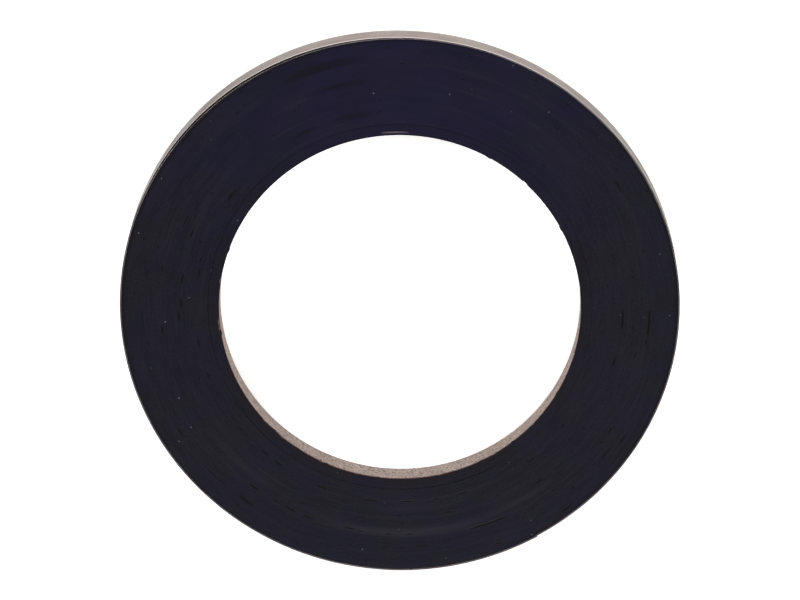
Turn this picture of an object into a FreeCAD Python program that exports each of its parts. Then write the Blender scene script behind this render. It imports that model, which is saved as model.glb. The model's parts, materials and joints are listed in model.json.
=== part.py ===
import FreeCAD, Part
import math
import os

# Roll of copper foil tape for stained glass work, lying flat.
# Z is the roll's axis. The origin is on that axis, in the plane of the lower face.
# The strip is copper foil with an adhesive film and a paper release liner, wound liner inwards
# round a core of glued paper plies, then slit to width together with the core.

# Core: a tube of paper plies glued one on another
bore_radius = 38.1
inner_ply = 0.40
body_ply = 0.50
outer_ply = 0.40
body_plies = 3

# Tape: one long strip of three layers
tape_width = 6.35
tape_length = 32918.0
liner = 0.110
adhesive = 0.033
foil = 0.032

# Free end of the tape
end_direction = -60.0   # degrees from X to the cut end of the strip
free_length = 32.0      # strip that lifts off the roll
peeled_length = 22.0    # part of it where foil and adhesive leave the liner

# Clearances round the two bends of the free end
lift_gap = 0.02         # liner of the free end over the turn below
peel_gap = 0.01         # adhesive over the liner where the two part
cut_gap = 0.02          # along the strip, at each bend

core_radius = bore_radius + inner_ply + body_plies * body_ply + outer_ply
strip = liner + adhesive + foil
turns = (math.sqrt(core_radius ** 2 + tape_length * strip / math.pi) - core_radius) / strip
pack_radius = core_radius + (turns - 1) * strip

Z = FreeCAD.Vector(0, 0, 1)
nodes = {}


def raise_to_width(wires):
    """A solid of the tape's width standing on the outline, which may have a hole."""
    return Part.makeFace(wires, "Part::FaceMakerBullseye").extrude(Z * tape_width)


def circle(radius):
    """A whole circle round the roll's axis."""
    return Part.Wire(Part.makeCircle(radius))


def place(centre, radius, degrees):
    """The point at that radius and direction from a centre on the X axis."""
    turn = math.radians(degrees)
    return FreeCAD.Vector(centre + radius * math.cos(turn), radius * math.sin(turn), 0)


def arc(centre, radius, start, end):
    """The arc round a centre on the X axis, between two directions in degrees."""
    middle = place(centre, radius, (start + end) / 2)
    return Part.Arc(place(centre, radius, start), middle, place(centre, radius, end)).toShape()


def line(start, end):
    """A straight edge between two points."""
    return Part.LineSegment(start, end).toShape()


def face_to_end(shape):
    """Turns what is drawn with the strip's cut end on the X axis to where that end is."""
    return shape.rotated(FreeCAD.Vector(), Z, end_direction)


# A turn of the spiral is two half circles. Their centres lie a quarter of the strip's
# thickness each side of the axis, so the radius grows by one thickness in a whole turn.
far_centre = -strip / 4
near_centre = strip / 4
far_radius = pack_radius + strip / 4
near_radius = pack_radius + 3 * strip / 4


def last_turn_layer(bottom, top, stop):
    """One layer of the last turn, from where that turn starts to the direction stop."""
    outline = [
        arc(far_centre, far_radius + bottom, 0, 180),
        arc(near_centre, near_radius + bottom, -180, stop),
        line(place(near_centre, near_radius + bottom, stop), place(near_centre, near_radius + top, stop)),
        arc(near_centre, near_radius + top, stop, -180),
        arc(far_centre, far_radius + top, 180, 0),
        line(place(far_centre, far_radius + top, 0), place(far_centre, far_radius + bottom, 0)),
    ]
    return face_to_end(raise_to_width([Part.Wire(outline)]))


def free_layer(bottom, top, start, stop):
    """One layer of the free end, between two directions from the near centre."""
    low = near_radius + bottom
    high = near_radius + top
    outline = [
        arc(near_centre, low, start, stop),
        line(place(near_centre, low, stop), place(near_centre, high, stop)),
        arc(near_centre, high, stop, start),
        line(place(near_centre, high, start), place(near_centre, low, start)),
    ]
    return face_to_end(raise_to_width([Part.Wire(outline)]))


# Core plies, from the bore outwards
ply_names = ["core_inner_ply"]
ply_names += [f"core_body_ply_{number + 1}" for number in range(body_plies)]
ply_names += ["core_outer_ply"]
ply_thicknesses = [inner_ply] + [body_ply] * body_plies + [outer_ply]
radius = bore_radius
for name, thickness in zip(ply_names, ply_thicknesses):
    nodes[name] = raise_to_width([circle(radius + thickness), circle(radius)])
    radius += thickness

# Every turn but the last, as one wound body. Its outside steps up at the strip's end,
# because the last turn starts there.
pack_outline = Part.Wire([
    arc(far_centre, far_radius, 0, 180),
    arc(near_centre, near_radius, -180, 0),
    line(place(near_centre, near_radius, 0), place(far_centre, far_radius, 0)),
])
nodes["wound_tape"] = face_to_end(raise_to_width([pack_outline, circle(core_radius)]))

# Heights in the strip, from the liner's inner side, and directions of the two bends,
# which the lengths of the free end give along the outside of the roll
liner_top = liner
adhesive_top = liner + adhesive
tip_base = lift_gap + peel_gap
outside = near_radius + tip_base + strip
lift_direction = -math.degrees(free_length / outside)
peel_direction = -math.degrees(peeled_length / outside)
gap_angle = math.degrees(cut_gap / outside)

# The last turn, up to where the free end lifts
turn_stop = lift_direction - gap_angle
nodes["last_turn_liner"] = last_turn_layer(0, liner_top, turn_stop)
nodes["last_turn_adhesive"] = last_turn_layer(liner_top, adhesive_top, turn_stop)
nodes["last_turn_foil"] = last_turn_layer(adhesive_top, strip, turn_stop)

# The free end. Its liner runs to the cut, its foil and adhesive stop where the tip peels
root_stop = peel_direction - gap_angle
nodes["free_end_liner"] = free_layer(lift_gap, lift_gap + liner_top, lift_direction, 0)
nodes["free_end_adhesive"] = free_layer(
    lift_gap + liner_top, lift_gap + adhesive_top, lift_direction, root_stop
)
nodes["free_end_foil"] = free_layer(
    lift_gap + adhesive_top, lift_gap + strip, lift_direction, root_stop
)

# The peeled tip, foil with its adhesive, parted from the liner
nodes["peeled_adhesive"] = free_layer(
    tip_base + liner_top, tip_base + adhesive_top, peel_direction, 0
)
nodes["peeled_foil"] = free_layer(tip_base + adhesive_top, tip_base + strip, peel_direction, 0)

os.makedirs("parts", exist_ok=True)
for name, shape in nodes.items():
    shape.exportStep(f"parts/{name}.step")
    print(name, shape.ShapeType, shape.isValid(), round(shape.Volume, 3))

# The two bends turn about axes along Z, each on the outer side of what bends there
to_end = FreeCAD.Rotation(Z, end_direction)
lift_pivot = to_end.multVec(place(near_centre, near_radius + lift_gap + strip, lift_direction))
peel_pivot = to_end.multVec(place(near_centre, near_radius + tip_base + strip, peel_direction))
print("lift pivot", [round(value, 4) for value in lift_pivot])
print("peel pivot", [round(value, 4) for value in peel_pivot])
print("turns", round(turns, 2), "roll radius", round(pack_radius + strip, 3))
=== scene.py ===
import json
import math
import random

import bmesh
import bpy
from mathutils import Matrix, Vector, noise


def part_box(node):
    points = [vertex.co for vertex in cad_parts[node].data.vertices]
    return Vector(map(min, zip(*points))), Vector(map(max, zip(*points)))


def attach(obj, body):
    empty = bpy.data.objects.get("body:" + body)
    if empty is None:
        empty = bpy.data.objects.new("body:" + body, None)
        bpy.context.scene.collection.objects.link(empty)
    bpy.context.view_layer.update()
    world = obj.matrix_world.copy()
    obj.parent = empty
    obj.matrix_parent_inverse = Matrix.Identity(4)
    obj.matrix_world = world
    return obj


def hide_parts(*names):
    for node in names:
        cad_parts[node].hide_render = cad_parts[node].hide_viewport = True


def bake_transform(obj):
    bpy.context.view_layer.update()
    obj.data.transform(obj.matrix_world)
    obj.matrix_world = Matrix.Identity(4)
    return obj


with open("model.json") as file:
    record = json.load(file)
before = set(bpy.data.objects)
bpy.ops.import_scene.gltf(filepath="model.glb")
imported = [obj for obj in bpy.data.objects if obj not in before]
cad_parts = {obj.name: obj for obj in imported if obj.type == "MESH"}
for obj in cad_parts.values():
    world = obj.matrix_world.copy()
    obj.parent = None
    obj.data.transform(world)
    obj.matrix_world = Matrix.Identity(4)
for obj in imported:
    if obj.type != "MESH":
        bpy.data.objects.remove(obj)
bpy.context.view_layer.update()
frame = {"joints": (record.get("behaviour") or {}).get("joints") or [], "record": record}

# ---- The core's plies ----
# A paper tube: recycled kraft inside and outside, three plies of grey-brown board between, wound on
# a mandrel and glued. The blade that slits the log cuts core and tape together, so the cut edges
# carry a black smear of the tape's adhesive, and the soft inside edge is torn in places.

mm = 0.001
tape_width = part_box("wound_tape")[1].z
whole_turn = 2 * math.pi


def linear(hex_colour):
    """The linear colour, with alpha, of an sRGB hex value such as "a08060"."""
    channels = [int(hex_colour[place:place + 2], 16) / 255 for place in (0, 2, 4)]
    return [c / 12.92 if c <= 0.04045 else ((c + 0.055) / 1.055) ** 2.4 for c in channels] + [1.0]


def add_node(tree, kind, links=None, **settings):
    """Adds a shader node. links gives sockets a value or another node's output to read."""
    made = tree.nodes.new("ShaderNode" + kind)
    for name, value in settings.items():
        setattr(made, name, value)
    for name, value in (links or {}).items():
        if isinstance(value, bpy.types.NodeSocket):
            tree.links.new(value, made.inputs[name])
        else:
            made.inputs[name].default_value = value
    return made


def new_material(name):
    """An empty material with a Principled surface, returned with its tree and shader."""
    material = bpy.data.materials.new(name)
    material.use_nodes = True
    tree = material.node_tree
    return material, tree, tree.nodes["Principled BSDF"]


def sweep(profile, start, turn, steps, climb=0.0):
    """A closed profile of (radius, height) points swept round the axis from one direction.

    Each whole turn of the sweep moves outwards by climb. An open sweep gets its two ends.
    """
    same_point = 0.002 * mm
    bm = bmesh.new()
    points = [bm.verts.new((radius, 0, height)) for radius, height in profile]
    sides = [bm.edges.new(pair) for pair in zip(points, points[1:] + points[:1])]
    bmesh.ops.rotate(bm, verts=points, matrix=Matrix.Rotation(start, 3, "Z"))
    climb_in_a_step = climb * turn / whole_turn / steps
    outwards = Vector((math.cos(start), math.sin(start), 0)) * climb_in_a_step
    closed = climb == 0 and turn == whole_turn
    bmesh.ops.spin(
        bm, geom=points + sides, axis=(0, 0, 1), angle=turn, steps=steps,
        dvec=outwards, use_merge=closed,
    )
    bmesh.ops.remove_doubles(bm, verts=bm.verts, dist=same_point)
    bmesh.ops.holes_fill(bm, edges=bm.edges, sides=0)
    bmesh.ops.recalc_face_normals(bm, faces=bm.faces)
    return bm


def finish_piece(name, bm, materials):
    """Makes the mesh a smooth-shaded object with sharp corners kept, and puts it in the scene."""
    sharpest_bend = math.radians(35)
    for face in bm.faces:
        face.smooth = True
    for edge in bm.edges:
        edge.smooth = edge.calc_face_angle(0) < sharpest_bend
    mesh = bpy.data.meshes.new(name)
    bm.to_mesh(mesh)
    bm.free()
    for material in materials:
        mesh.materials.append(material)
    piece = bpy.data.objects.new(name, mesh)
    bpy.context.scene.collection.objects.link(piece)
    return piece


def paper_material(name, body_hex, fleck_hex, smear_hex, stain_hex):
    """Pressed recycled paper: matt, fibrous and flecked, its cut edges smeared black.

    Real fibres are some 0.03 mm wide and are drawn coarser, so that they show.
    """
    fibre_width = 0.35 * mm
    fleck_size = 0.42 * mm
    cloud_size = 4 * mm
    material, tree, shader = new_material(name)
    place = add_node(tree, "TexCoord").outputs["Object"]
    fibres = add_node(
        tree, "TexNoise", {"Vector": place, "Scale": 1 / fibre_width, "Detail": 4.0}
    ).outputs["Fac"]
    clouds = add_node(
        tree, "TexNoise", {"Vector": place, "Scale": 1 / cloud_size, "Detail": 3.0}
    ).outputs["Fac"]
    flecks = add_node(
        tree, "TexNoise",
        {"Vector": place, "Scale": 1 / fleck_size, "Detail": 2.0, "Distortion": 1.2},
    ).outputs["Fac"]
    fibrous = add_node(
        tree, "MapRange",
        {"Value": fibres, "From Min": 0.3, "From Max": 0.7, "To Min": 0.0, "To Max": 0.35},
    ).outputs[0]
    cloudy = add_node(
        tree, "MapRange",
        {"Value": clouds, "From Min": 0.35, "From Max": 0.65, "To Min": 0.0, "To Max": 0.18},
    ).outputs[0]
    flecked = add_node(
        tree, "MapRange", {"Value": flecks, "From Min": 0.55, "From Max": 0.63}
    ).outputs[0]
    tone = add_node(tree, "Math", {0: fibrous, 1: cloudy}, operation="ADD").outputs[0]
    body = add_node(
        tree, "Mix", {0: tone, 6: linear(body_hex), 7: linear(fleck_hex)}, data_type="RGBA"
    ).outputs[2]
    speckled = add_node(
        tree, "Mix", {0: flecked, 6: body, 7: linear(fleck_hex)}, data_type="RGBA"
    ).outputs[2]
    # The stain lies below the upper cut edge and the smear over both edges. The fibres fray both.
    fray = 0.35 * mm
    height = add_node(tree, "SeparateXYZ", {0: place}).outputs["Z"]
    above_middle = add_node(
        tree, "Math", {0: height, 1: tape_width / 2}, operation="SUBTRACT"
    ).outputs[0]
    off_middle = add_node(tree, "Math", {0: above_middle}, operation="ABSOLUTE").outputs[0]
    colour = speckled
    for distance, starts_below_edge, full_below_edge, over_hex in (
        (above_middle, 0.60 * mm, 0.18 * mm, stain_hex),
        (off_middle, -0.02 * mm, -0.10 * mm, smear_hex),
    ):
        frayed = add_node(
            tree, "Math", {0: fibres, 1: fray, 2: distance}, operation="MULTIPLY_ADD"
        ).outputs[0]
        covered = add_node(
            tree, "MapRange",
            {
                "Value": frayed,
                "From Min": tape_width / 2 - starts_below_edge,
                "From Max": tape_width / 2 - full_below_edge,
            },
        ).outputs[0]
        colour = add_node(
            tree, "Mix", {0: covered, 6: colour, 7: linear(over_hex)}, data_type="RGBA"
        ).outputs[2]
    tree.links.new(colour, shader.inputs["Base Color"])
    shader.inputs["Roughness"].default_value = 0.85
    shader.inputs["Specular IOR Level"].default_value = 0.25
    bump = add_node(tree, "Bump", {"Height": fibres, "Strength": 0.35, "Distance": 0.05 * mm})
    tree.links.new(bump.outputs[0], shader.inputs["Normal"])
    return material


def smeared_edge_material():
    """Cut edges of the wound strip under a smear of black adhesive: dark, blue-black, half dull,
    with a painted violet sheen on one side and painted shade in the gaps.

    The turns are 0.175 mm apart, too fine to show, so the rings are drawn about twice as coarse.
    """
    middle_radius = 50 * mm
    material, tree, shader = new_material("slit tape edges smeared with adhesive")
    place = add_node(tree, "TexCoord").outputs["Object"]
    flat = add_node(tree, "Mapping", {"Vector": place, "Scale": (1, 1, 0)}).outputs[0]
    radius = add_node(tree, "VectorMath", {0: flat}, operation="LENGTH").outputs["Value"]
    around = add_node(tree, "VectorMath", {0: flat}, operation="NORMALIZE").outputs[0]

    def along_turns(length, pitch):
        """The place counted in lengths along the turns and in pitches across them."""
        spread = add_node(
            tree, "VectorMath", {0: around, "Scale": middle_radius / length}, operation="SCALE"
        ).outputs[0]
        outwards = add_node(tree, "Math", {0: radius, 1: 1 / pitch}, operation="MULTIPLY").outputs[0]
        lifted = add_node(tree, "CombineXYZ", {"Z": outwards}).outputs[0]
        return add_node(tree, "VectorMath", {0: spread, 1: lifted}, operation="ADD").outputs[0]

    rings, streaks, patches = [
        add_node(
            tree, "TexNoise",
            {"Vector": along_turns(length, pitch), "Scale": 1.0, "Detail": detail},
        ).outputs["Fac"]
        for length, pitch, detail in (
            (22 * mm, 0.35 * mm, 3.0), (5.5 * mm, 0.28 * mm, 4.0), (14 * mm, 5.0 * mm, 3.0)
        )
    ]
    grain_size = 0.45 * mm
    grain = add_node(
        tree, "TexNoise", {"Vector": place, "Scale": 1 / grain_size, "Detail": 2.0}
    ).outputs["Fac"]
    rough_tone = add_node(tree, "Math", {0: streaks, 1: grain}, operation="ADD").outputs[0]
    tone = add_node(
        tree, "MapRange", {"Value": rough_tone, "From Min": 0.75, "From Max": 1.25}
    ).outputs[0]
    base = add_node(
        tree, "Mix", {0: tone, 6: linear("0b0b12"), 7: linear("191824")}, data_type="RGBA"
    ).outputs[2]
    # A violet sheen is painted on one side of the roll as a painted reflection, and the dye in the
    # smear turns violet in patches
    sheen_width = 62 * mm
    sheen_depth = 52 * mm
    cloud_size = 9 * mm
    sheen_place = add_node(
        tree, "Mapping",
        {
            "Vector": place,
            "Location": (0, -0.85, 0),
            "Scale": (1 / sheen_width, 1 / sheen_depth, 0),
        },
    ).outputs[0]
    sheen_off = add_node(
        tree, "VectorMath", {0: sheen_place}, operation="LENGTH"
    ).outputs["Value"]
    # The painted sheen, strongest towards +Y
    painted_sheen = add_node(
        tree, "MapRange",
        {"Value": sheen_off, "From Min": 0.0, "From Max": 1.05, "To Min": 0.8, "To Max": 0.0},
        interpolation_type="SMOOTHSTEP",
    ).outputs[0]
    clouds = add_node(
        tree, "TexNoise", {"Vector": place, "Scale": 1 / cloud_size, "Detail": 2.0}
    ).outputs["Fac"]
    cloud = add_node(
        tree, "MapRange",
        {"Value": clouds, "From Min": 0.42, "From Max": 0.68, "To Min": 0.0, "To Max": 0.35},
    ).outputs[0]
    # Painted violet sheen plus the patches of violet dye
    sheen_and_violet_patches = add_node(tree, "Math", {0: painted_sheen, 1: cloud}, operation="ADD").outputs[0]
    violet = add_node(
        tree, "Mix", {0: sheen_and_violet_patches, 6: base, 7: linear("120e2a")}, data_type="RGBA"
    ).outputs[2]
    # The shade attribute is below 0 where the smear is wet and above 0 where it is rubbed dry
    shade = add_node(tree, "Attribute", attribute_name="shade").outputs["Fac"]
    uneven = add_node(
        tree, "Math", {0: patches, 1: 0.5, 2: shade}, operation="MULTIPLY_ADD"
    ).outputs[0]
    wet = add_node(
        tree, "MapRange",
        {"Value": uneven, "From Min": 0.1, "From Max": -0.5, "To Min": 0.0, "To Max": 0.7},
    ).outputs[0]
    dry = add_node(
        tree, "MapRange",
        {"Value": uneven, "From Min": 0.2, "From Max": 1.1, "To Min": 0.0, "To Max": 0.7},
    ).outputs[0]
    wetted = add_node(
        tree, "Mix", {0: wet, 6: violet, 7: linear("09080e")}, data_type="RGBA"
    ).outputs[2]
    rubbed = add_node(
        tree, "Mix", {0: dry, 6: wetted, 7: linear("2a282f")}, data_type="RGBA"
    ).outputs[2]
    # The paper of the core soaks the smear up and turns it brown, where the painted violet sheen and
    # the violet patches are faint
    soak_depth = 1.5 * mm
    soaked = add_node(
        tree, "MapRange",
        {"Value": sheen_and_violet_patches, "From Min": 0.3, "From Max": 0.0, "To Min": 0.0, "To Max": 0.5},
    ).outputs[0]
    in_core = add_node(
        tree, "MapRange",
        {
            "Value": radius,
            "From Min": core_radius,
            "From Max": core_radius - soak_depth,
            "To Min": 0.0,
            "To Max": soaked,
        },
    ).outputs[0]
    browned = add_node(
        tree, "Mix", {0: in_core, 6: rubbed, 7: linear("171112")}, data_type="RGBA"
    ).outputs[2]
    # A hairline gap between the core and the first turn, painted dark as the shade inside it
    from_seam = add_node(
        tree, "Math", {0: radius, 1: core_radius}, operation="SUBTRACT"
    ).outputs[0]
    off_seam = add_node(tree, "Math", {0: from_seam}, operation="ABSOLUTE").outputs[0]
    seam_gap_shade = add_node(
        tree, "MapRange",
        {
            "Value": off_seam,
            "From Min": 0.04 * mm,
            "From Max": 0.11 * mm,
            "To Min": 0.75,
            "To Max": 0.0,
        },
    ).outputs[0]
    # Short nicks along the turns, where the blade plucked at the strip, painted black as the shade
    # inside them
    nick_length = 5.0 * mm
    nick_pitch = 1.5 * mm
    nicks = add_node(
        tree, "TexVoronoi", {"Vector": along_turns(nick_length, nick_pitch), "Scale": 1.0}
    ).outputs["Distance"]
    nick_gap_shade = add_node(
        tree, "MapRange",
        {"Value": nicks, "From Min": 0.05, "From Max": 0.11, "To Min": 0.9, "To Max": 0.0},
    ).outputs[0]
    # Slits are dented in the mesh; their black is painted shade of the gap between parted turns
    slit = add_node(tree, "Attribute", attribute_name="slit").outputs["Fac"]
    painted_gap_shade = add_node(tree, "Math", {0: seam_gap_shade, 1: slit}, operation="MAXIMUM").outputs[0]
    cut = add_node(tree, "Math", {0: nick_gap_shade, 1: painted_gap_shade}, operation="MAXIMUM").outputs[0]
    # Painted shade: black in the slits, the nicks and the seam gap
    dark = add_node(
        tree, "Mix", {0: cut, 6: browned, 7: linear("000000")}, data_type="RGBA"
    ).outputs[2]
    bare = add_node(tree, "Attribute", attribute_name="bare").outputs["Fac"]
    bared = add_node(
        tree, "Mix", {0: bare, 6: dark, 7: linear("75686c")}, data_type="RGBA"
    ).outputs[2]
    # A little paper dust is caught on the smear
    dust_spacing = 2.6 * mm
    dust = add_node(tree, "TexVoronoi", {"Vector": place, "Scale": 1 / dust_spacing})
    chance_here = add_node(tree, "SeparateXYZ", {0: dust.outputs["Color"]}).outputs["X"]
    kept = add_node(
        tree, "MapRange", {"Value": chance_here, "From Min": 0.70, "From Max": 0.95}
    ).outputs[0]
    speck = add_node(
        tree, "MapRange",
        {
            "Value": dust.outputs["Distance"],
            "From Min": 0.03,
            "From Max": 0.07,
            "To Min": kept,
            "To Max": 0.0,
        },
    ).outputs[0]
    dusted = add_node(
        tree, "Mix", {0: speck, 6: bared, 7: linear("75767c")}, data_type="RGBA"
    ).outputs[2]
    tree.links.new(dusted, shader.inputs["Base Color"])
    gloss = add_node(
        tree, "MapRange",
        {"Value": rings, "From Min": 0.3, "From Max": 0.7, "To Min": 0.55, "To Max": 0.70},
    ).outputs[0]
    tree.links.new(gloss, shader.inputs["Roughness"])
    shader.inputs["Specular IOR Level"].default_value = 0.15
    shader.inputs["Coat Weight"].default_value = 0.06
    shader.inputs["Coat Roughness"].default_value = 0.30
    bump = add_node(tree, "Bump", {"Height": rough_tone, "Strength": 0.3, "Distance": 0.02 * mm})
    tree.links.new(bump.outputs[0], shader.inputs["Normal"])
    return material


def direction_of(point):
    """The direction of a point from the axis, in degrees from 0 to 360."""
    return math.degrees(math.atan2(point.y, point.x)) % 360


def ply(node):
    """One paper ply in the place of its node, flush with its neighbours, its cut a little rough."""
    inner, outer = ply_radii[node]
    ease = 0.02 * mm
    roughness = 0.02 * mm
    roughness_grain = 0.9 * mm
    levels_of_wall = 8
    steps_round = 480
    middle = (inner + outer) / 2
    levels = [tape_width * level / levels_of_wall for level in range(1, levels_of_wall)]
    profile = [(inner, ease)] + [(inner, level) for level in levels] + [
        (inner, tape_width - ease), (inner + ease, tape_width), (middle, tape_width),
        (outer - ease, tape_width), (outer, tape_width - ease),
        (outer, ease), (outer - ease, 0), (middle, 0), (inner + ease, 0),
    ]
    bm = sweep(profile, 0.0, whole_turn, steps_round)
    for vertex in bm.verts:
        sunk = roughness * (noise.noise(vertex.co / roughness_grain) + 1) / 2
        if vertex.co.z > tape_width - 2 * ease:
            vertex.co.z -= sunk
        elif vertex.co.z < 2 * ease:
            vertex.co.z += sunk
    return bm


def tear(bm):
    """Tears the bore's upper edge: tongues that lean over the wall, and chips broken out of it."""
    torn_height = 0.2 * mm
    torn_width = 0.1 * mm
    for vertex in bm.verts:
        if vertex.co.z < tape_width - torn_height or vertex.co.xy.length > bore + torn_width:
            continue
        direction = direction_of(vertex.co)
        for middle, half_width, reach in tears:
            share = max(0.0, 1 - abs(direction - middle) / half_width)
            vertex.co.xy -= vertex.co.xy.normalized() * reach * share * mm


def bare_paper(bm):
    """Marks the spots of the upper face that are clear of the smear."""
    spot_half_depth = 0.06 * mm
    layer = bm.verts.layers.float.new("bare")
    for vertex in bm.verts:
        if vertex.co.z < tape_width / 2:
            continue
        direction = direction_of(vertex.co)
        for radius, middle, half_width in bare_spots:
            near = abs(vertex.co.xy.length - radius * mm) < spot_half_depth
            share = max(0.0, 1 - abs(direction - middle) / half_width)
            vertex[layer] = max(vertex[layer], math.sqrt(share) * near)


bore = next(m for m in frame["record"]["mounts"] if m["name"] == "core_bore")["dims"]["r_mm"] * mm
ply_radii = {}
inner_edge = bore
for node in (
    "core_inner_ply", "core_body_ply_1", "core_body_ply_2", "core_body_ply_3", "core_outer_ply"
):
    outer_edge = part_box(node)[1].x
    ply_radii[node] = (inner_edge, outer_edge)
    inner_edge = outer_edge

core_radius = ply_radii["core_outer_ply"][1]

# Each tear: its middle and half width in degrees, and how far it leans inwards in mm. A chip
# goes outwards, so its number is below 0.
tears = [
    (221, 1.1, -0.27), (225.5, 1.2, 0.30), (229, 1.0, -0.30), (235, 0.9, 0.20), (244, 1.1, -0.27),
    (246, 0.9, 0.22), (256, 1.0, -0.16), (263, 1.0, 0.16), (283, 1.0, -0.16), (297, 1.1, 0.20),
    (302, 0.9, -0.22), (309, 1.2, 0.27), (318, 1.0, -0.20), (331, 1.2, 0.20), (345, 1.0, -0.16),
    (28, 1.1, 0.20), (47, 1.0, -0.27), (61, 1.0, 0.16), (160, 1.1, 0.20), (188, 1.2, 0.27),
]
# Where the blade bared the paper: radius in mm, then middle and half width in degrees
bare_spots = [(38.75, 91.5, 4.5), (38.29, 170.5, 0.8), (38.29, 184.5, 1.2), (38.29, 186.5, 0.7)]

# A face of a ply is a cut face where its normal is at least this steep
cut_face_slope = 0.8

kraft = paper_material("speckled recycled kraft", "ab9b92", "40342e", "15141a", "4c241e")
board = paper_material("grey-brown core board", "83766b", "5e5046", "141319", "2b2022")
smeared_edges = smeared_edge_material()

for node in ply_radii:
    material = board if "body" in node else kraft
    bm = ply(node)
    bare_paper(bm)
    if node == "core_inner_ply":
        tear(bm)
    for face in bm.faces:
        face.material_index = 1 if abs(face.normal.z) > cut_face_slope else 0
    piece = finish_piece(node.replace("core", "paper"), bm, [material, smeared_edges])
    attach(piece, "roll")
    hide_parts(node)

# ---- The wound tape ----
# Every turn of the strip but the last, pressed into one body: copper foil outwards, black adhesive
# under it, paper liner inside. Slitting smears adhesive over the cut turns, so the faces are a dull
# blue-black with fine rings, long faint marks of the feeding blade, and slits where turns part,
# dented a little and painted black as the shade in the gap.

liner = 0.110 * mm
adhesive = 0.033 * mm
foil = 0.032 * mm
strip = liner + adhesive + foil
end_direction = math.radians(-60)
pack_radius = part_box("wound_tape")[1].x + strip * end_direction / whole_turn
pack_turns = round((pack_radius - core_radius) / strip)
first_radius = pack_radius - pack_turns * strip

# The foil on the outside of each turn stands a little proud of the softer paper in its middle
ridge = 0.010 * mm
steps_round = 310
top = [
    (first_radius + half_turn * strip / 2, tape_width - (ridge if half_turn % 2 else 0))
    for half_turn in range(2 * pack_turns + 1)
]
bottom = [(first_radius + turn * strip, 0.0) for turn in range(pack_turns, -1, -1)]
pack = sweep(top + bottom, end_direction, whole_turn, steps_round, climb=strip)


def wander(point):
    """How far a turn stands back from flush, as the strip strays sideways while it is wound."""
    turn = point.xy.length / strip - math.atan2(point.y, point.x) / whole_turn
    stray = 0.0
    for turns, length, depth in ((9, 60 * mm, 0.035 * mm), (1.7, 25 * mm, 0.012 * mm)):
        sample = Vector((turn / turns, point.x / length, point.y / length))
        stray += depth * (noise.noise(sample) + 0.5)
    return max(0.0, stray)


def blade_mark(point):
    """1 along the faint spiral that the blade leaves as it feeds in, falling to 0 beside it."""
    feed = 4.2 * mm
    mark_width = 0.22 * mm
    phase = (point.xy.length / feed - math.atan2(point.y, point.x) / whole_turn) % 1.0
    return math.exp(-((phase - 0.5) * feed / mark_width) ** 2)


# Slits where turns part: radius in mm, middle in degrees, and half length in mm
slits = [
    (52.5, 356.8, 2.3), (52.4, 352.3, 0.9), (46.9, 358, 1.9), (46.7, 346, 0.9), (51.6, 289.2, 1.3),
    (51.7, 293, 2.4), (43.7, 309.8, 0.7), (48.5, 307.9, 0.8), (52.1, 328.9, 0.9),
    (55.4, 328.3, 0.9), (54.2, 323.9, 0.8), (56.7, 291.7, 0.9), (57.1, 308.4, 1.0),
    (53.1, 31.6, 1.0), (43.1, 144, 1.2), (46.2, 171.4, 0.9), (42.9, 169.7, 0.8), (46.1, 178.8, 0.8),
    (46.6, 182, 0.6), (48.8, 156.6, 0.6), (50.4, 185.6, 0.8), (43.2, 190.3, 1.0), (43, 205.6, 0.6),
    (43.2, 218.5, 0.7), (43.1, 228.6, 0.9), (43.2, 233.1, 0.6), (50.7, 232.1, 1.2),
    (54.3, 232.7, 1.2), (50.7, 243, 1.1), (50.8, 247.4, 1.0), (50.5, 257.6, 0.7), (43.3, 247, 0.6),
    (43.4, 261.6, 1.0), (43.1, 272.6, 0.7), (46.3, 269.8, 0.7), (43.3, 288, 0.8), (53.6, 275, 0.6),
]
# More short ones open by chance, in the turns that were wound slackest
chance = random.Random(7)
slack_radii = [43.2, 46.6, 50.7, 54.3]
short_slits = 20
for _ in range(short_slits):
    radius = chance.choice(slack_radii)
    middle = chance.uniform(150, 360)
    slits.append((radius, middle, chance.uniform(0.3, 0.6)))

# Smudges: radius in mm, direction and half length in degrees, half width in mm, and shade,
# which is below 0 for a wet dark smear and above 0 for a dry dusty rub
smudges = [
    (55.0, 107, 10, 1.2, -0.9), (50.2, 105, 8, 0.9, -0.7), (43.2, 103, 7, 0.9, -0.7),
    (50.3, 271, 25, 1.1, 0.8), (50.0, 301, 10, 0.8, 0.5), (45.0, 276, 12, 1.0, 0.3),
    (46.5, 150, 18, 1.0, 0.2), (52.5, 20, 14, 0.9, 0.2), (56.8, 330, 12, 0.6, -0.5),
    (54.5, 190, 12, 0.9, -0.4), (43.4, 117, 4, 0.5, -0.9), (48.5, 225, 14, 1.2, 0.25),
    # The last two rows darken a band 0.5 mm either side of 58.3 mm radius, nearly all round the
    # face's outer edge
    (58.3, 145, 80, 0.5, -0.8), (58.3, 355, 70, 0.5, -0.8),
]
slit_half_width = 0.11 * mm
slit_depth = 0.12 * mm
blade_mark_depth = 0.010 * mm
mark_patch = 14 * mm
slit_shade_layer = pack.verts.layers.float.new("slit")
shade_layer = pack.verts.layers.float.new("shade")


def aside_and_along(radius, direction, middle_radius, middle, half_width, half_length):
    """How far a place is from the middle of a mark, across and along it, 1 being its edge."""
    off = abs((direction - middle + math.pi) % whole_turn - math.pi)
    return abs(radius - middle_radius) / half_width, off / half_length


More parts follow.
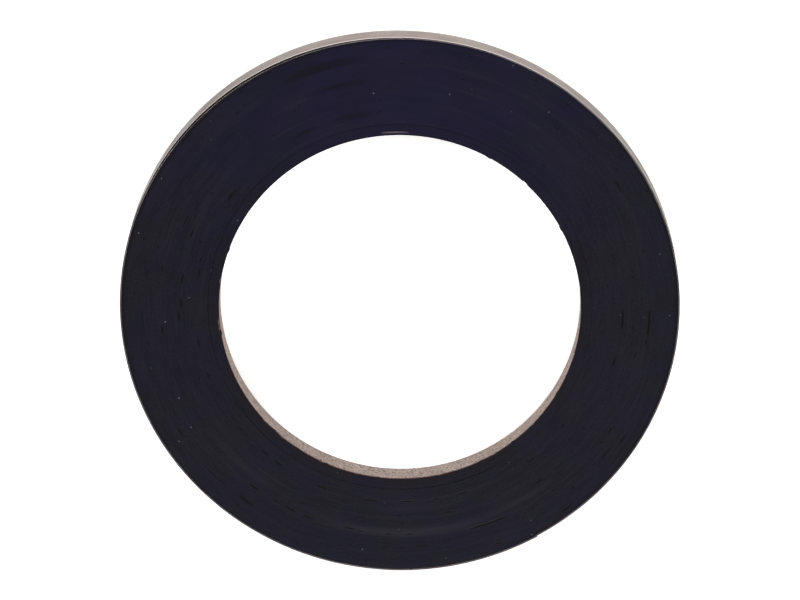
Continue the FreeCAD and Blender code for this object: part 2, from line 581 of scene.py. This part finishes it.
for vertex in pack.verts:
    upper = vertex.co.z > tape_width / 2
    radius = vertex.co.xy.length
    direction = math.atan2(vertex.co.y, vertex.co.x)
    mark = blade_mark(vertex.co)
    drop = wander(vertex.co) + mark * blade_mark_depth
    shade = 0.2 * mark * max(0.0, 0.4 + noise.noise(vertex.co / mark_patch))
    for slit_radius, middle, half_length in slits if upper else []:
        reach = min(2.0, 0.8 + half_length) * slit_half_width
        if abs(radius - slit_radius * mm) > reach:
            continue
        aside, along = aside_and_along(
            radius, direction, slit_radius * mm, math.radians(middle),
            reach, half_length / slit_radius
        )
        if aside < 1 and along < 1:
            # Marks the slit for its painted black shade; the dent below is real
            vertex[slit_shade_layer] = 1.0
            drop += slit_depth * (1 - aside) * (1 - along ** 4)
    for smudge_radius, middle, half_length, half_width, strength in smudges:
        aside, along = aside_and_along(
            radius, direction, smudge_radius * mm, math.radians(middle),
            half_width * mm, math.radians(half_length)
        )
        if aside < 1 and along < 1:
            shade += strength * (1 - aside ** 2) * (1 - along ** 2)
    vertex[shade_layer] = shade
    vertex.co.z += -drop if upper else drop

# Copper shows on the outside of the pack and along its outermost edge
copper_rim = 0.05 * mm
for face in pack.faces:
    middle = face.calc_center_median()
    turn = (math.atan2(middle.y, middle.x) - end_direction) % whole_turn
    outside = pack_radius + strip * turn / whole_turn
    face.material_index = 1 if middle.xy.length > outside - copper_rim else 0


def foil_material():
    """Thin rolled copper: pinkish and bright, with rolling lines, dull oxide, and a pale band along
    both edges that is partly blade-brightened metal, partly painted highlight.

    Rolling lines are finer than 0.1 mm and are drawn coarser, so that they show.
    """
    rolling_line = 0.25 * mm
    rolling_length = pack_radius / 4
    oxide_patch = 7 * mm
    fleck_size = 0.6 * mm
    material, tree, shader = new_material("rolled copper foil")
    place = add_node(tree, "TexCoord").outputs["Object"]
    flat = add_node(tree, "Mapping", {"Vector": place, "Scale": (1, 1, 0)}).outputs[0]
    around = add_node(tree, "VectorMath", {0: flat}, operation="NORMALIZE").outputs[0]
    spread = add_node(
        tree, "VectorMath", {0: around, "Scale": pack_radius / rolling_length}, operation="SCALE"
    ).outputs[0]
    up = add_node(
        tree, "Mapping", {"Vector": place, "Scale": (0, 0, 1 / rolling_line)}
    ).outputs[0]
    where = add_node(tree, "VectorMath", {0: spread, 1: up}, operation="ADD").outputs[0]
    lines = add_node(
        tree, "TexNoise", {"Vector": where, "Scale": 1.0, "Detail": 4.0}
    ).outputs["Fac"]
    oxide = add_node(
        tree, "TexNoise", {"Vector": place, "Scale": 1 / oxide_patch, "Detail": 5.0}
    ).outputs["Fac"]
    flecks = add_node(
        tree, "TexNoise", {"Vector": place, "Scale": 1 / fleck_size, "Detail": 3.0}
    ).outputs["Fac"]
    dull = add_node(
        tree, "MapRange",
        {"Value": oxide, "From Min": 0.4, "From Max": 0.65, "To Min": 0.0, "To Max": 0.6},
    ).outputs[0]
    worn = add_node(
        tree, "Math", {0: flecks, 1: 0.9, 2: -0.45}, operation="MULTIPLY_ADD"
    ).outputs[0]
    spotted = add_node(tree, "Math", {0: dull, 1: worn}, operation="ADD").outputs[0]
    oxidised = add_node(tree, "Clamp", {"Value": spotted}).outputs[0]
    colour = add_node(
        tree, "Mix", {0: oxidised, 6: linear("ad8d7f"), 7: linear("8a7067")}, data_type="RGBA"
    ).outputs[2]
    # A pale band along both edges: partly metal that the blade left bright, partly a painted
    # highlight where the bent lip catches the light
    height = add_node(tree, "SeparateXYZ", {0: place}).outputs["Z"]
    above_middle = add_node(
        tree, "Math", {0: height, 1: tape_width / 2}, operation="SUBTRACT"
    ).outputs[0]
    off_middle = add_node(tree, "Math", {0: above_middle}, operation="ABSOLUTE").outputs[0]
    painted_rim_highlight = add_node(
        tree, "MapRange",
        {
            "Value": off_middle,
            "From Min": tape_width / 2 - 0.90 * mm,
            "From Max": tape_width / 2 - 0.15 * mm,
        },
    ).outputs[0]
    rim_highlighted = add_node(
        tree, "Mix", {0: painted_rim_highlight, 6: colour, 7: linear("efdfd8")}, data_type="RGBA"
    ).outputs[2]
    tree.links.new(rim_highlighted, shader.inputs["Base Color"])
    shader.inputs["Metallic"].default_value = 1.0
    # Oxide greys and dulls the glancing reflection
    shader.inputs["Specular Tint"].default_value = (0.40, 0.51, 0.54, 1.0)
    shader.inputs["Sheen Weight"].default_value = 0.25
    shader.inputs["Sheen Roughness"].default_value = 0.4
    rough = add_node(
        tree, "MapRange",
        {"Value": oxide, "From Min": 0.35, "From Max": 0.7, "To Min": 0.27, "To Max": 0.39},
    ).outputs[0]
    tree.links.new(rough, shader.inputs["Roughness"])
    bump = add_node(tree, "Bump", {"Height": lines, "Strength": 0.2, "Distance": 0.01 * mm})
    tree.links.new(bump.outputs[0], shader.inputs["Normal"])
    return material


copper = foil_material()
winding = finish_piece("tape_winding", pack, [smeared_edges, copper])
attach(winding, "roll")
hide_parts("wound_tape")

# ---- The last turn ----
# The three layers of the strip at their real thickness. The blade drags the foil's edges over the
# layers under it and smears them black. The turn has sprung a little loose on one side.

lip = 0.10 * mm
lift_pivot = Vector(next(j for j in frame["joints"] if j["name"] == "end_lift")["pos_m"])
lift_turn = math.atan2(lift_pivot.y, lift_pivot.x) - end_direction + whole_turn
fixed_length = 3.0 * mm
fixed_lead = fixed_length / pack_radius


def foil_profile(base):
    """The foil's section: a thin wall whose top and bottom edges bend inwards over the strip."""
    levels_of_wall = 8
    outside = base + strip
    bends = [math.radians(bend) for bend in (0, 30, 60, 90)]
    levels = [tape_width * level / levels_of_wall for level in range(1, levels_of_wall)]

    def bent_edge(radius):
        """A quarter round from the wall to the edge, as distances inwards and past the wall."""
        return [(lip - radius * math.cos(bend), radius * math.sin(bend)) for bend in bends]

    outer_bend = bent_edge(lip)
    inner_bend = bent_edge(lip - foil)
    return (
        [(outside - inwards, tape_width - lip + past) for inwards, past in outer_bend]
        + [(outside - inwards, tape_width - lip + past) for inwards, past in inner_bend[::-1]]
        + [(outside - foil, level) for level in levels[::-1]]
        + [(outside - inwards, lip - past) for inwards, past in inner_bend]
        + [(outside - inwards, lip - past) for inwards, past in outer_bend[::-1]]
        + [(outside, level) for level in levels]
    )


def flat_profile(inside, outside, short):
    """The section of a flat layer between two radii, its edges short of the foil's."""
    return [
        (inside, short), (outside, short),
        (outside, tape_width / 2), (outside, tape_width - short),
        (inside, tape_width - short), (inside, tape_width / 2),
    ]


def adhesive_profile(base):
    """The adhesive's section, which the foil's bent edges cover."""
    return flat_profile(base + liner, base + liner + adhesive, lip)


def liner_profile(base):
    """The liner's section, just under the foil's bent edges."""
    short_of_foil = 0.045 * mm
    return flat_profile(base, base + liner, short_of_foil)


def spring_loose(bm):
    """Moves a stretch of the last turn outwards, where it has relaxed off the turn below."""
    loosest_direction = 124
    loose_half_width = 44
    loosest_gap = 0.30 * mm
    ripple_length = 6 * mm
    ripple_height = 0.008 * mm
    for vertex in bm.verts:
        off = abs(direction_of(vertex.co) - loosest_direction)
        share = max(0.0, 1 - off / loose_half_width)
        eased = share * share * (3 - 2 * share)
        outwards = Vector((vertex.co.x, vertex.co.y, 0)).normalized()
        ripple = noise.noise(vertex.co / ripple_length) * ripple_height
        vertex.co += outwards * (loosest_gap * eased + ripple)


def smear_cut_edges(bm):
    """Gives the cut edges of a layer, at the top and the bottom, to the black smear."""
    slope_at_rim = 0.6
    for face in bm.faces:
        face.material_index = 1 if abs(face.normal.z) > slope_at_rim else 0


def adhesive_material():
    """Black pressure-sensitive acrylic: soft, tacky, with a wet-looking broken gloss."""
    ripple_size = 0.8 * mm
    material, tree, shader = new_material("black acrylic adhesive")
    place = add_node(tree, "TexCoord").outputs["Object"]
    ripple = add_node(
        tree, "TexNoise", {"Vector": place, "Scale": 1 / ripple_size, "Detail": 3.0}
    ).outputs["Fac"]
    colour = add_node(
        tree, "Mix", {0: ripple, 6: linear("0c0c0e"), 7: linear("1c1c20")}, data_type="RGBA"
    ).outputs[2]
    tree.links.new(colour, shader.inputs["Base Color"])
    rough = add_node(
        tree, "MapRange",
        {"Value": ripple, "From Min": 0.3, "From Max": 0.7, "To Min": 0.25, "To Max": 0.5},
    ).outputs[0]
    tree.links.new(rough, shader.inputs["Roughness"])
    bump = add_node(tree, "Bump", {"Height": ripple, "Strength": 0.3, "Distance": 0.02 * mm})
    tree.links.new(bump.outputs[0], shader.inputs["Normal"])
    return material


def liner_material():
    """Siliconed release paper: cream white, faintly fibrous, with a satin coat."""
    fibre_width = 0.5 * mm
    material, tree, shader = new_material("siliconed release paper")
    place = add_node(tree, "TexCoord").outputs["Object"]
    fibres = add_node(
        tree, "TexNoise", {"Vector": place, "Scale": 1 / fibre_width, "Detail": 5.0}
    ).outputs["Fac"]
    colour = add_node(
        tree, "Mix", {0: fibres, 6: linear("e9e1cf"), 7: linear("d3c8b2")}, data_type="RGBA"
    ).outputs[2]
    tree.links.new(colour, shader.inputs["Base Color"])
    shader.inputs["Roughness"].default_value = 0.45
    bump = add_node(tree, "Bump", {"Height": fibres, "Strength": 0.2, "Distance": 0.01 * mm})
    tree.links.new(bump.outputs[0], shader.inputs["Normal"])
    return material


sticky = adhesive_material()
release_paper = liner_material()

layers = {
    "foil": (foil_profile, copper, "copper_foil"),
    "adhesive": (adhesive_profile, sticky, "black_adhesive"),
    "liner": (liner_profile, release_paper, "release_liner"),
}


def stretch(profile_at, first_turn, last_turn, gap, step):
    """A stretch of one layer along the spiral, between two angles from where the turn starts."""
    base = pack_radius + gap + strip * first_turn / whole_turn
    turn = last_turn - first_turn
    return sweep(profile_at(base), end_direction + first_turn, turn, round(turn / step), climb=strip)


coarse_step = math.radians(0.9)
for layer, (profile_at, material, slot) in layers.items():
    bm = stretch(profile_at, 0.0, lift_turn - fixed_lead, 0.0, coarse_step)
    spring_loose(bm)
    smear_cut_edges(bm)
    piece = finish_piece("last_turn_" + layer + "_wrap", bm, [material, smeared_edges])
    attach(piece, "roll")
    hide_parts("last_turn_" + layer)

# ---- The free end ----
# The last 32 mm of the strip: foil, adhesive and liner as in the turn before, held by their own curl
# only. A thumbnail lifts them off the roll.

peel_pivot = Vector(next(j for j in frame["joints"] if j["name"] == "foil_peel")["pos_m"])
peel_turn = math.atan2(peel_pivot.y, peel_pivot.x) - end_direction + whole_turn
joined_length = 1.5 * mm
join_turn = peel_turn - joined_length / pack_radius
rest_gap = 0.02 * mm
fine_step = math.radians(0.25)

for layer, (profile_at, material, slot) in layers.items():
    stop = whole_turn if layer == "liner" else join_turn
    bm = stretch(profile_at, lift_turn - fixed_lead, stop, rest_gap, fine_step)
    smear_cut_edges(bm)
    piece = finish_piece("free_end_" + layer + "_strip", bm, [material, smeared_edges])
    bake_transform(piece)
    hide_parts("free_end_" + layer)

# ---- The peeled tip ----
# Foil and adhesive of the last 22 mm, which come off the siliconed liner together when the user
# starts a length.

tip_gap = rest_gap + 0.005 * mm
for layer in ("foil", "adhesive"):
    profile_at, material, slot = layers[layer]
    bm = stretch(profile_at, join_turn, whole_turn, tip_gap, fine_step)
    smear_cut_edges(bm)
    piece = finish_piece("peeled_" + layer + "_strip", bm, [material, smeared_edges])
    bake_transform(piece)
    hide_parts("peeled_" + layer)

# ---- The studio ----
# A matt white table that glows a little, so that it stays white, under three large soft lights. The
# ceiling is dim, so that the upward faces stay dark.

floor_bm = bmesh.new()
floor_half_width = 3.0
bmesh.ops.create_grid(floor_bm, x_segments=1, y_segments=1, size=floor_half_width)
floor = finish_piece("table", floor_bm, [])
table, tree, shader = new_material("white table")
shader.inputs["Base Color"].default_value = linear("f6f6f6")
shader.inputs["Roughness"].default_value = 0.8
shader.inputs["Specular IOR Level"].default_value = 0.1
shader.inputs["Emission Color"].default_value = linear("ffffff")
shader.inputs["Emission Strength"].default_value = 0.55
floor.data.materials.append(table)

world = bpy.data.worlds.new("studio")
world.use_nodes = True
bpy.context.scene.world = world
sky = world.node_tree
background = sky.nodes["Background"]
aim = add_node(sky, "TexCoord").outputs["Generated"]
upward = add_node(sky, "SeparateXYZ", {0: aim}).outputs["Z"]
dimming = add_node(
    sky, "MapRange",
    {"Value": upward, "From Min": 0.3, "From Max": 0.8, "To Min": 0.5, "To Max": 0.05},
).outputs[0]
sky.links.new(dimming, background.inputs["Strength"])
background.inputs["Color"].default_value = (1, 1, 1, 1)


def soft_light(name, place, size, power, colour):
    """A large square light aimed at the roll."""
    light = bpy.data.lights.new(name, "AREA")
    light.size = size
    light.energy = power
    light.color = linear(colour)[:3]
    lamp = bpy.data.objects.new(name, light)
    lamp.location = place
    lamp.rotation_euler = (-Vector(place)).to_track_quat("-Z", "Y").to_euler()
    bpy.context.scene.collection.objects.link(lamp)


soft_light("left_window", (-0.95, 0.75, 0.75), 0.8, 13, "ffffff")
soft_light("right_window", (1.0, 0.45, 0.7), 0.8, 9, "ffffff")
soft_light("front_fill", (0.1, -1.1, 0.7), 0.9, 9, "ffffff")

# ---- The camera ----
# A long lens nearly overhead, a little towards the back of the roll, so that it sees the outer wall
# there and the wall of the bore at the front.

tilt = math.radians(18.15)
yaw = math.radians(-0.69)
distance = 863.3 * mm
lens_place = Matrix.Translation((0.04 * mm, 2.0 * mm, distance))
view = bpy.data.cameras.new("camera")
view.sensor_width = 36.0
view.lens = 184.57
camera = bpy.data.objects.new("camera", view)
turned = Matrix.Rotation(-yaw, 4, "Y") @ Matrix.Rotation(-tilt, 4, "X")
camera.matrix_world = Matrix.Translation((0, 0, tape_width)) @ turned @ lens_place
bpy.context.scene.collection.objects.link(camera)
bpy.context.scene.camera = camera
bpy.context.scene.view_settings.view_transform = "Standard"
